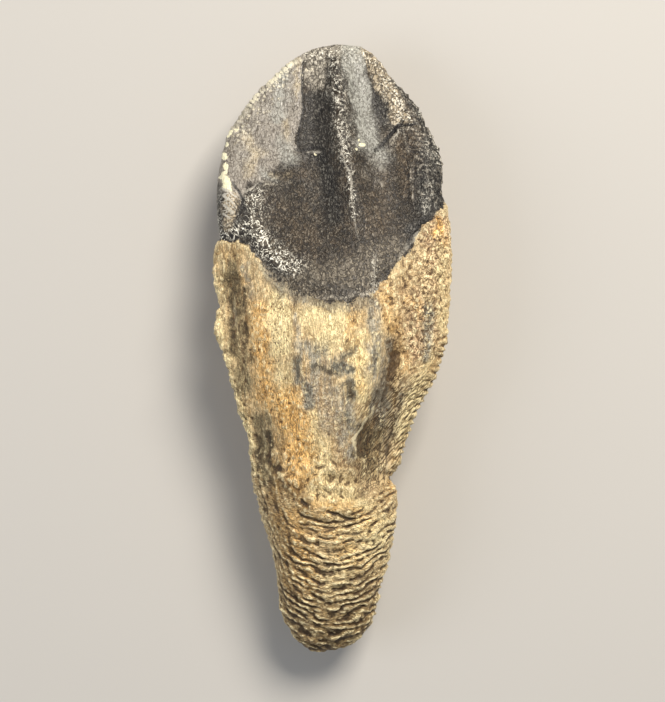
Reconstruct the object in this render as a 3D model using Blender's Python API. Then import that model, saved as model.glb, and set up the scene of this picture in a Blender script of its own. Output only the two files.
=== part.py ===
"""Fossil tooth of a plant-eating dinosaur, as one solid: a spoon-shaped enamelled crown on a long, ridged root.

The tooth lies on its back on a table with the enamelled face up, the way such a tooth comes to rest. The sizes
below are in millimetres and the mesh is in metres, +Z up and +Y towards the tip of the crown. The origin is on the
table, under the middle of the tooth's box.

The surface is a stack of rings. Each ring crosses the tooth at one station, the distance from the tip of the crown
along the tooth. A ring has an upper side, the face, and an underside, the back, which meet at the left and right
edges. A place across the face is given by x, the distance to the right of the midline.
"""

import math

import bpy
import numpy as np

MM = 0.001

# Driving dimensions, in millimetres.
LENGTH = 60.0
REST_FLAT = 0.25  # how much of the lowest bumps is worn flat where the tooth lies on them

# The mesh: points along a ring, and the spacing of the rings as (station, spacing).
FACE_STEPS = 30
BACK_STEPS = 16
RING_SPACING = [(0, 0.12), (1, 0.4), (3, 0.9), (18, 0.9), (20, 0.66), (44, 0.66), (46, 0.41), (57, 0.4), (60, 0.12)]

# Outline seen from above, as (station, x). Both edges start at the tip and end at the end of the root.
TIP_X = 1.0
END_X = -1.7
LEFT_EDGE = [
    (0, TIP_X), (0.5, -2.0), (1.5, -3.9), (3.5, -6.2), (5.4, -8.1), (7.4, -9.4), (9, -10.4), (11.5, -11.1),
    (14.5, -11.5), (17.8, -11.4), (19.3, -11.1), (20.2, -11.6), (23.2, -11.9), (25.6, -11.5), (27.8, -11.9),
    (31, -10.9), (35, -9.7), (39, -8.4), (43, -8.0), (45, -7.5), (49, -6.4), (51, -5.9), (56, -5.2), (57.7, -4.4),
    (59.2, -3.3), (LENGTH, END_X),
]
RIGHT_EDGE = [
    (0, TIP_X), (0.5, 3.3), (1.5, 4.6), (3.5, 6.1), (5.4, 7.9), (6.8, 8.9), (9, 9.7), (10.4, 10.5), (12.7, 10.9),
    (15.4, 10.9), (17, 11.3), (23.5, 11.6), (28.3, 11.4), (30.1, 11.0), (32.5, 10.3), (35, 8.9), (38, 7.6),
    (41.5, 6.4), (42.7, 5.6), (43.6, 6.3), (45, 6.5), (49.8, 5.8), (52.8, 5.0), (57.6, 3.6), (58.8, 2.3),
    (59.6, 0.3), (LENGTH, END_X),
]

# Side view: the height of the edges above the table, and how far the face rises and the back falls from them.
EDGE_HEIGHT = [
    (0, 5.0), (5, 6.2), (10, 7.2), (15, 8.0), (20, 8.6), (30, 8.9), (40, 7.8), (46, 6.7), (52, 5.5), (60, 4.0),
]
LIP = [
    (0, 0), (1, 0.6), (5, 0.8), (15, 1.0), (30, 1.1), (38, 1.4), (43, 2.8), (48, 4.1), (54, 3.7), (58, 2.3), (60, 0),
]
FACE_SWELL = [
    (0, 0), (5, 0.3), (10, 0.7), (15, 1.1), (20, 2.0), (25, 3.2), (30, 4.0), (36, 4.2), (43, 2.2), (49, 0.7), (56, 0),
]
BACK_SWELL = [
    (0, 0), (5, 1.4), (10, 3.5), (14, 5.3), (18, 7.0), (22, 7.95), (27, 7.85), (33, 6.8), (40, 4.9), (46, 2.2),
    (52, 1.6), (57, 0.6), (60, 0),
]

# The shape across a ring. A high squareness makes a flat plate with a rounded edge, and 2 makes an ellipse.
SQUARENESS = [(0, 6), (25, 7), (36, 5), (44, 2.6), (60, 2.1)]
# How fast the swell of the face and of the back falls away from the middle towards the edges.
FACE_FALL = [(0, 1), (18, 1), (26, 1.6), (40, 2), (50, 1)]
BACK_FALL = [(0, 1), (12, 1.6), (30, 2.2), (42, 1.8), (50, 1)]

# Where the enamel ends on the face, as (x, station): a deep curve, with the root's flanges coming up at both sides.
ENAMEL_END = [
    (-12, 20.1), (-8.2, 20.3), (-7, 22), (-5.4, 23.6), (-3, 25), (0.7, 25.5), (3.7, 24.8), (5.8, 22.4), (7.8, 20.2),
    (8.4, 18.4), (10.6, 16.2), (12, 15.4),
]

# Folds of the face: a rounded ridge (height above 0) or groove (below 0) along a line. Each entry is a profile
# over stations: the line's x, the fold's width from its crest to where it fades, and its height.
MEDIAN_RIDGE = {
    "line": [(1, 0.2), (8, 0.6), (14, 1.6), (20, 2.5)],
    "width": [(1, 1.1), (10, 1.3), (20, 2.0)],
    "height": [(0, 0), (2, 0.5), (6, 0.95), (12, 0.9), (17, 0.45), (22, 0)],
}
LEFT_DISH = {
    "line": [(2, -2.5), (10, -4.6), (20, -4.2)],
    "width": [(2, 1.6), (10, 3.6), (20, 3.6)],
    "height": [(0, 0), (4, -0.3), (10, -0.55), (16, -0.6), (22, 0)],
}
LEFT_CHANNEL = {
    "line": [(2, -1.4), (10, -1.4), (16, -0.6), (20, 0)],
    "width": [(2, 1.2), (10, 1.5), (20, 1.6)],
    "height": [(1.5, 0), (4, -0.45), (10, -0.7), (15, -0.5), (21, 0)],
}
RIGHT_HOLLOW = {
    "line": [(2, 2.9), (10, 4.9), (20, 5.9)],
    "width": [(2, 1.4), (10, 2.2), (20, 2.4)],
    "height": [(0, 0), (4, -0.4), (10, -0.8), (16, -0.7), (22, 0)],
}
LEFT_MARGIN = {
    "line": [(8, -9.9), (14, -10.6), (20, -10.2)],
    "width": [(8, 0.8), (20, 1.2)],
    "height": [(7, 0), (12, 0.45), (18, 0.5), (20, 0)],
}
RIGHT_MARGIN = {
    "line": [(6, 7.6), (12, 9.0), (18, 9.6)],
    "width": [(6, 1.0), (18, 1.5)],
    "height": [(5, 0), (9, 0.45), (15, 0.5), (19, 0)],
}
LEFT_GROOVE = {
    "line": [(20, -9.7), (25, -9.4), (30, -8.9), (35, -8.1), (40, -6.9), (45, -6.2)],
    "width": [(20, 1.0), (27, 1.2), (36, 0.9), (45, 0.8)],
    "height": [(20, 0), (24, -1.1), (29, -1.3), (35, -0.5), (40, -0.8), (45, 0)],
}
RIGHT_GROOVE = {
    "line": [(26, 5.9), (31.5, 5.7), (34, 5.4), (38.5, 4.3), (42, 4.3)],
    "width": [(26, 1.2), (33, 1.1), (38, 1.6), (42, 1.3)],
    "height": [(26, 0), (31, -1.5), (34.5, -1.3), (38.5, -1.7), (42, -0.6), (44.5, 0)],
}
ROOT_LEDGE = {
    "line": [(44, 1.0), (48, 1.0)],
    "width": [(44, 2.4), (48, 2.4)],
    "height": [(44.5, 0), (45.6, 0.35), (46.2, 0.3), (46.7, -0.25), (47.6, 0)],
}
FACE_FOLDS = [
    MEDIAN_RIDGE, LEFT_DISH, LEFT_CHANNEL, RIGHT_HOLLOW, LEFT_MARGIN, RIGHT_MARGIN, LEFT_GROOVE, RIGHT_GROOVE,
    ROOT_LEDGE,
]

# Folds of the back: two keels that the tooth lies on, with a shallow trough between them.
LEFT_KEEL = {
    "line": [(10, -3.6), (30, -3.0), (55, -2.6)],
    "width": [(10, 2.2), (55, 1.5)],
    "height": [(8, 0), (18, 0.75), (35, 0.7), (54, 0.7), (59, 0)],
}
RIGHT_KEEL = {
    "line": [(10, 4.0), (30, 2.9), (55, 1.6)],
    "width": [(10, 2.2), (55, 1.5)],
    "height": [(8, 0), (18, 0.85), (35, 0.6), (54, 0.65), (59, 0)],
}
BACK_FOLDS = [LEFT_KEEL, RIGHT_KEEL]

# Small relief, raised along the surface's normal.
GROWTH_RINGS = {  # the wavy ridges around the lower root
    "pitch": 0.95,
    "middle": 0.4,  # the x where each ring lies furthest down the root
    "bend": [(44, 0.075), (60, 0.1)],  # how steeply a ring climbs away from there, towards both edges
    "start": [(45, 0), (47.5, 0.18)],
    "end": [(56, 0.2), (59.5, 0.1), (60, 0)],
}
FLANGE_BEADS = {  # the knobbly rim of the flange at the left of the root
    "pitch": 1.62,
    "reach": 1.3,
    "height": [(20, 0), (23, 0.16), (30, 0.22), (42, 0.12), (47, 0)],
}

ENAMEL = {"name": "Fossil enamel", "color": (0.045, 0.035, 0.028), "roughness": 0.38}
CEMENTUM = {"name": "Fossil cementum", "color": (0.42, 0.28, 0.13), "roughness": 0.8}


def eased(station):
    """Stations as an angle from 0 to pi, so that an outline drawn over them closes round at both ends."""
    return np.arccos(1 - 2 * np.clip(np.asarray(station, float) / LENGTH, 0, 1))


def along(profile, station):
    """A profile's value at each station: a smooth curve through its points, which never swings past them."""
    stations, values = np.array(profile, float).T
    knots = eased(stations)
    gaps = np.diff(knots)
    slopes = np.diff(values) / gaps
    product = slopes[:-1] * slopes[1:]
    total = np.where(product > 0, slopes[:-1] + slopes[1:], 1)
    inner = np.where(product > 0, 2 * product / total, 0)
    tangents = np.concatenate([slopes[:1], inner, slopes[-1:]])
    place = np.clip(eased(station), knots[0], knots[-1])
    i = np.clip(np.searchsorted(knots, place) - 1, 0, len(gaps) - 1)
    t = (place - knots[i]) / gaps[i]
    ends = values[i] * (1 + 2 * t) * (1 - t) ** 2 + values[i + 1] * t**2 * (3 - 2 * t)
    bends = gaps[i] * (tangents[i] * t * (1 - t) ** 2 - tangents[i + 1] * t**2 * (1 - t))
    return ends + bends


def ring_stations():
    """Stations of the rings, close together at both ends and where the root is ridged."""
    fine = np.linspace(0, LENGTH, 6000)
    spacing = np.interp(fine, *np.array(RING_SPACING, float).T)
    count_so_far = np.concatenate([[0], np.cumsum(np.diff(fine) / spacing[1:])])
    rings = round(count_so_far[-1])
    return np.interp(np.linspace(0, count_so_far[-1], rings + 1)[1:-1], count_so_far, fine)


def across(steps):
    """Places across a ring from -1 at the left edge to 1 at the right edge, a little closer at the edges."""
    even = np.linspace(-1, 1, steps + 1)
    return 0.6 * even + 0.4 * np.sin(even * math.pi / 2)


def fold(shape, x, station):
    """Height of a rounded ridge or groove: bell-shaped across its line."""
    offset = (x - along(shape["line"], station)) / along(shape["width"], station)
    return along(shape["height"], station) * np.exp(-(offset**2))


def side_points(station, place, direction, swell, fall, folds):
    """One side of every ring, as arrays of x and height. direction is 1 for the face and -1 for the back."""
    left = along(LEFT_EDGE, station)
    right = along(RIGHT_EDGE, station)
    x = (left + right) / 2 + (right - left) / 2 * place
    plate = np.sqrt(np.clip(1 - np.abs(place) ** along(SQUARENESS, station), 0, 1))
    dome = (1 - place**2) ** along(fall, station)
    relief = sum(fold(shape, x, station) for shape in folds)
    rise = along(LIP, station) * plate + along(swell, station) * dome + relief * plate
    return x, along(EDGE_HEIGHT, station) + direction * rise


def ring_points(stations):
    """The points of all rings, rings x points x 3: over the face from left to right, then back underneath."""
    column = stations[:, None]
    face_x, face_z = side_points(column, across(FACE_STEPS)[None, :], 1, FACE_SWELL, FACE_FALL, FACE_FOLDS)
    back_places = across(BACK_STEPS)[None, 1:-1]
    back_x, back_z = side_points(column, back_places, -1, BACK_SWELL, BACK_FALL, BACK_FOLDS)
    x = np.hstack([face_x, back_x[:, ::-1]])
    z = np.hstack([face_z, back_z[:, ::-1]])
    return np.stack([x, np.broadcast_to(-column, x.shape), z], axis=-1)


def normals_of(points):
    """Outward unit normals of the ring points."""
    around = np.roll(points, -1, axis=1) - np.roll(points, 1, axis=1)
    down = np.gradient(points, axis=0)
    normals = np.cross(down, around)
    return normals / np.linalg.norm(normals, axis=-1, keepdims=True)


def growth_rings(x, station):
    """The wavy ridges of the lower root."""
    shape = GROWTH_RINGS
    bent = station + along(shape["bend"], station) * (x - shape["middle"]) ** 2
    waver = 0.16 * np.sin(1.1 * x + 0.7 * station) + 0.12 * np.sin(2.3 * x - 0.9 * station + 1)
    crest = np.sin(2 * math.pi * (bent / shape["pitch"] + waver))
    uneven = 0.75 + 0.25 * np.sin(0.8 * x + 1.7 * station)
    return np.minimum(along(shape["start"], bent), along(shape["end"], station)) * uneven * crest


def flange_beads(x, station):
    """The beads on the left flange's rim."""
    shape = FLANGE_BEADS
    from_edge = (x - along(LEFT_EDGE, station)) / shape["reach"]
    turns = station / shape["pitch"] + 0.2 * np.sin(0.9 * station)
    return along(shape["height"], station) * np.exp(-(from_edge**2)) * np.sin(2 * math.pi * turns)


def raise_small_relief(points):
    """Moves the points along their normals by the growth rings and the flange's beads."""
    x = points[..., 0]
    station = -points[..., 1]
    relief = growth_rings(x, station) + flange_beads(x, station)
    return points + normals_of(points) * relief[..., None]


def closed_faces(rings, around):
    """Faces between the rings, and a fan at each end onto the tip and the end of the root."""
    faces = []
    for ring in range(rings - 1):
        for i in range(around):
            j = (i + 1) % around
            here, below = ring * around, (ring + 1) * around
            faces.append((here + i, below + i, below + j, here + j))
    tip, end = rings * around, rings * around + 1
    last = (rings - 1) * around
    for i in range(around):
        j = (i + 1) % around
        faces.append((tip, i, j))
        faces.append((end, last + j, last + i))
    return faces


def lay_on_table(points):
    """Centres the points over the origin and lays them on the table, with the lowest bumps worn flat."""
    low, high = points.min(axis=0), points.max(axis=0)
    points = points - [(low[0] + high[0]) / 2, (low[1] + high[1]) / 2, low[2] + REST_FLAT]
    points[:, 2] = np.maximum(points[:, 2], 0)
    return points


def material(finish):
    """A Principled BSDF of one colour."""
    made = bpy.data.materials.new(finish["name"])
    made.use_nodes = True
    shader = made.node_tree.nodes["Principled BSDF"]
    shader.inputs["Base Color"].default_value = (*finish["color"], 1)
    shader.inputs["Roughness"].default_value = finish["roughness"]
    return made


def is_enamel(polygon, tip_y):
    """Whether a face lies on the enamelled face of the crown."""
    station = tip_y - polygon.center.y / MM
    enamel_end = np.interp(polygon.center.x / MM, *np.array(ENAMEL_END, float).T)
    return polygon.normal.z > 0 and station < enamel_end


def build_tooth():
    """The tooth as one closed mesh, with enamel on the crown's face and cementum elsewhere."""
    rings = raise_small_relief(ring_points(ring_stations()))
    tip = [TIP_X, 0, along(EDGE_HEIGHT, 0)]
    end = [END_X, -LENGTH, along(EDGE_HEIGHT, LENGTH)]
    points = lay_on_table(np.vstack([rings.reshape(-1, 3), tip, end]))
    mesh = bpy.data.meshes.new("tooth")
    mesh.from_pydata((points * MM).tolist(), [], closed_faces(*rings.shape[:2]))
    mesh.materials.append(material(CEMENTUM))
    mesh.materials.append(material(ENAMEL))
    for polygon in mesh.polygons:
        polygon.material_index = int(is_enamel(polygon, points[:, 1].max()))
    mesh.shade_smooth()
    tooth = bpy.data.objects.new("tooth", mesh)
    bpy.context.scene.collection.objects.link(tooth)


for leftover in list(bpy.data.objects):
    bpy.data.objects.remove(leftover)
build_tooth()
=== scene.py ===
"""Looks of the fossil tooth: its fine surface, of mineralised enamel and cementum, and the studio round it.

Sizes are in millimetres unless a name says otherwise. A place on the tooth is (x, station): x is to the
right of the midline, and the station is the distance from the tip of the crown along the tooth.
"""

import math

import bmesh
import bpy
import numpy as np
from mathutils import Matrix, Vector, noise


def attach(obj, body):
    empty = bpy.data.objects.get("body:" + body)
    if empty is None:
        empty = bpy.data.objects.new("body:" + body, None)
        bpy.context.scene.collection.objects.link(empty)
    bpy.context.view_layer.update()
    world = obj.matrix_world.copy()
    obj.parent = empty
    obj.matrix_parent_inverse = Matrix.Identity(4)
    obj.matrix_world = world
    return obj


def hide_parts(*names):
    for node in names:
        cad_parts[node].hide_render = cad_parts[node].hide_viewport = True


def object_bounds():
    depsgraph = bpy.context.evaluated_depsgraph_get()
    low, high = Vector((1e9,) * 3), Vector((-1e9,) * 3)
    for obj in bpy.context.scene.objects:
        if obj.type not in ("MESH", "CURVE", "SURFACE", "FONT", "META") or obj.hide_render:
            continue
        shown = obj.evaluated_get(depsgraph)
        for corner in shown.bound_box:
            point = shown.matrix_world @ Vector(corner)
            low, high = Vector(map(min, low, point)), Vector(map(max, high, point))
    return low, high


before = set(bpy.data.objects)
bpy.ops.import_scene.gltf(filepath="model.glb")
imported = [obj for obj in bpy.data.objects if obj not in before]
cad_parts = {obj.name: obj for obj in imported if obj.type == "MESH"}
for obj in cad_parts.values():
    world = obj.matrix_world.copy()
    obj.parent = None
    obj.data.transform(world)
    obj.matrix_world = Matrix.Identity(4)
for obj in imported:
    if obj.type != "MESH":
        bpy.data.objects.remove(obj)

CAD_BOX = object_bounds()
MM = 0.001
SUBDIVISIONS = 2
NOISE_GAIN = 1.6  # brings the noise to about -1 to 1
CALMING_ROUNDS = 24  # of smoothing, where the fine relief needs a calm ground
CREST_ROUNDS = 6  # of smoothing, for the surroundings that a crest stands out of
NARROWEST = 0.12  # half width of the thinnest line that the mesh can raise
TAPER = 0.12  # the share of a drawn line that narrows at each end

# Where the enamel ends on the face of the crown, from its left edge to its right edge.
ENAMEL_END = [
    (-12, 19.5), (-10.5, 19.6), (-9.1, 19.7), (-7.8, 19.9), (-7.5, 20.7), (-6.6, 22), (-5.3, 23.5),
    (-3.9, 24.4), (-2.9, 25), (-1, 25.3), (0.9, 25.7), (2.3, 25.5), (3.7, 25), (4.5, 23.8), (5.9, 22.6),
    (6.2, 21.7), (7.1, 21.3), (7.8, 20.3), (8.4, 18.7), (9.1, 17.8), (10.1, 17.1), (10.6, 16.3), (11, 15.8),
    (12, 15.4),
]
ENAMEL_WRAP = 0.7  # how far the enamel wraps round the margins onto the back of the crown
MARGIN_END = 18  # how far down the crown its margins run

# As (station, x): the left edge of the chipped place beside the tip, and the crease that ends the left facet.
CHIP_EDGE = [(0, 3.2), (3.1, 3.6), (4.6, 4.3), (5.9, 4.5), (7.2, 5.1), (8.2, 5.7), (8.6, 8)]
FACET_EDGE = [
    (0, -2.4), (1.8, -2.7), (4.7, -2.8), (6.7, -2.7), (8.2, -3), (9.2, -3.5), (10, -3.5), (10.6, -3),
    (13, -2.6),
]
# Where the left facet fades.
FACET_END = [(-10.6, 15), (-8.3, 15.2), (-6.2, 13.2), (-3.9, 11.6), (-2.5, 10.6)]

# Denticles of the left margin: from one to the next, and how clear they are, as (station, strength).
DENTICLE = 0.47
DENTICLES = [(1.4, 0.2), (2, 1), (4, 1), (4.4, 0.1), (4.9, 0.9), (6, 0.9), (6.6, 0.3), (8.6, 0.3), (9.4, 0)]

# The flanges at both sides of the root, as (station, x) of the line where each leaves the body.
LEFT_FLANGE_FOOT = [
    (19, -7.4), (23, -8), (28, -8.1), (31, -8.4), (36, -7.9), (42, -6.8), (47, -6.2), (55, -4.8),
]
RIGHT_FLANGE_FOOT = [(15, 10.4), (18, 8.4), (21, 6.6), (24.5, 4.6), (28, 6.2), (34, 6.6), (38, 6), (43, 5.4)]
RIGHT_FLANGE_END = (42.6, 43.6)  # it fades between these stations

# Growth rings of the lower root. Each lies lowest at RING_MIDDLE, and climbs towards both edges of the root.
RING_MIDDLE = 0.4
RINGS_BEGIN = (44.0, 46.2)  # they grow between these
RING_TURNS = [(44, 0), (50, 6.6), (60, 19.6)]  # how many rings lie above each station
RING_BEND = [(44, 0.075), (60, 0.1)]  # how fast they climb, at each station

# Cuts in the surface, as path, half width at its start and end, depth, and how dark it is painted: the earth
# in it, and painted shade where shade falls in it.
CUTS = {
    "crease beside the left facet": (
        [(-2.7, 1.8), (-2.8, 4.7), (-2.7, 6.7), (-3.1, 8.7), (-3.2, 10.7)], 0.07, 0.07, 0.08, 0.75
    ),
    "short crack": ([(-3.4, 10.6), (-2.8, 10.75), (-2.2, 10.5), (-1, 10.3)], 0.07, 0.12, 0.12, 1),
    "wedge crack": ([(6.9, 7.8), (6.2, 8.6), (5.6, 9.4), (4.4, 10.7)], 0.24, 0.02, 0.2, 1),
    "wedge crack's arm": ([(6.6, 8.25), (7.2, 8.2), (8.4, 7.9)], 0.12, 0.06, 0.12, 0.9),
    "edge of the chip": ([(3.9, 4), (4.4, 5.2), (4.6, 6.2), (5.2, 7.2), (5.8, 8.2)], 0.04, 0.08, 0.06, 0.6),
    "crack under the left margin": (
        [(-9.5, 13.9), (-8.9, 14.7), (-8.5, 15.6), (-8.7, 16.8), (-9.4, 17.7)], 0.05, 0.07, 0.08, 0.8
    ),
    "crease at the facet's end": ([(-4.2, 12.3), (-3.5, 12.1), (-2.6, 12.3)], 0.03, 0.05, 0.05, 0.6),
    "gap above the right flange": ([(7.4, 19.9), (8.1, 18.6), (9, 17.8), (10, 17.3)], 0.1, 0.14, 0.2, 1),
    "pits of the ledge": (
        [(-0.3, 45.5), (0.4, 45.8), (0.7, 45.8), (1.2, 46.2), (2.3, 46.4)], 0.09, 0.13, 0.24, 0.5
    ),
    "pit at the left of the root": ([(-5.1, 41.4), (-4.5, 41.7)], 0.26, 0.16, 0.16, 0.6),
    "pit above the rings": ([(-2.8, 44.4), (-2.3, 44.9)], 0.12, 0.2, 0.22, 0.6),
    "notch in the right flange": ([(7.2, 42.3), (5.8, 42.5)], 0.26, 0.1, 0.36, 0.9),
}

# Lines that stand up, as path, half width at its start and end, height, and how pale they are painted: pale
# from rubbing, and on the bright crest of the root and the lit border a painted highlight.
CRESTS = {
    "crest of the median ridge": (
        [(0.8, 8.8), (1.1, 10.8), (1.4, 12), (1.9, 13.2), (2, 14.4), (2.1, 16.4)], 0.08, 0.06, 0.09, 0.5
    ),
    "crest low on the crown": ([(2.2, 16.6), (2.6, 19.4)], 0.04, 0.04, 0.05, 0.4),
    "crack with pale sides": ([(-8.4, 14.9), (-7.3, 14.3), (-7, 13.9)], 0.06, 0.04, 0.05, 0.7),
    "lip of the short crack": ([(-2.4, 10.9), (-1.6, 10.8), (-0.9, 10.8)], 0.12, 0.08, 0.05, 0.45),
    "lip of the wedge crack": ([(6.4, 8.3), (6.6, 8.9), (6.1, 9.5)], 0.1, 0.05, 0.1, 0.7),
    "thread low on the crown": ([(4.3, 20.6), (4.2, 22.6), (4, 25.2)], 0.05, 0.05, 0.04, 0.5),
    "first rib of the leaf": ([(-10.4, 14.5), (-9.7, 14.8), (-9.1, 15.5)], 0.17, 0.07, 0.05, 0.95),
    "second rib of the leaf": ([(-10.4, 15.2), (-9.7, 15.6), (-9.2, 16.3)], 0.18, 0.07, 0.05, 1),
    "third rib of the leaf": ([(-10.4, 16), (-9.8, 16.4), (-9.3, 17)], 0.17, 0.07, 0.05, 0.95),
    "fourth rib of the leaf": ([(-10.4, 16.8), (-9.9, 17.1), (-9.5, 17.5)], 0.15, 0.07, 0.05, 0.9),
    "bright crest of the root": (
        [(3.6, 36.4), (3.2, 37), (3, 37.7), (2.5, 38.2), (2.1, 38.6), (2.2, 39.2)], 0.08, 0.18, 0.08, 0.8
    ),
    "foot of the bright crest": ([(2.2, 39), (2.5, 39.8), (2.3, 40.6)], 0.1, 0.05, 0.05, 0.5),
    "top of the bright crest": ([(4.3, 35.5), (3.9, 36.3), (3.5, 36.9)], 0.13, 0.04, 0.06, 0.5),
    "strand in the left groove": ([(-9.3, 24.8), (-9.1, 27.6), (-8.8, 30.2)], 0.16, 0.12, 0.08, 0.22),
    "strand at the left of the root": ([(-6.5, 37.6), (-6.35, 39), (-6.3, 40.4)], 0.16, 0.1, 0.07, 0.25),
    "crease across the root": (
        [(-2.6, 31.1), (-1.5, 30.9), (-0.5, 31), (0.3, 30.7), (1.4, 30.3)], 0.08, 0.04, 0.015, 0.35
    ),
    "ledge right of the crown": ([(7.05, 8.8), (7.5, 10.7), (7.8, 13.1), (8, 15.6)], 0.07, 0.07, 0.12, 0.1),
    "sliver along the enamel": ([(6.5, 21.4), (7.4, 20.1), (8.4, 18.6)], 0.2, 0.3, 0.1, 0.5),
    "lit border of the root's upper edge": ([(-7.3, 21.2), (-6, 23.2), (-4, 24.7)], 0.12, 0.12, 0.08, 0.3),
}

# Hollows and swellings too small for the solid, as path, radius and height.
SWELLINGS = {
    "deposit 1": ([(-9.8, 8.4), (-9.3, 8.8), (-10.1, 9.5)], 0.26, 0.13),
    "deposit 2": ([(-10.4, 10.9), (-10.3, 11.5)], 0.22, 0.14),
    "deposit 3": ([(-10.4, 12.2), (-10.4, 13.2)], 0.16, 0.12),
    "deposit 4": ([(-10.15, 13.7), (-10.05, 14.4)], 0.42, 0.22),
    "cream spots": ([(2.8, 9.6), (3.1, 10.4)], 0.2, 0.08),
    "pale spot": ([(-1.4, 10.8)], 0.22, 0.06),
    "mound above the rings": ([(-2.2, 45.4), (-0.6, 45.3)], 0.7, 0.28),
    "hollow beside the bright crest": ([(4.2, 36.6), (3.1, 38), (3, 39.6)], 0.55, -0.26),
    "swelling in the right hollow": ([(4.6, 36.6), (4.6, 38.4)], 0.7, 0.2),
    "dark channel": ([(6.2, 30.6), (5.4, 33), (4.5, 35.4)], 0.8, -0.2),
    "channel beside the fan": ([(6.7, 34.6), (5.9, 37), (5.4, 40.6)], 0.6, -0.24),
    "dip under the enamel": ([(-5.9, 22.6), (-5, 23.4)], 0.35, -0.14),
    "lump of the left rim 1": ([(-11.3, 23.8)], 0.7, 0.12),
    "lump of the left rim 2": ([(-11.3, 27.8)], 0.8, 0.16),
    "hook of the right flange": ([(6.4, 43.5)], 0.4, 0.2),
    "leaf-shaped roll of the left margin": ([(-10, 14.8), (-9.6, 16.4), (-9.9, 17.8)], 0.65, 0.22),
}
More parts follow.
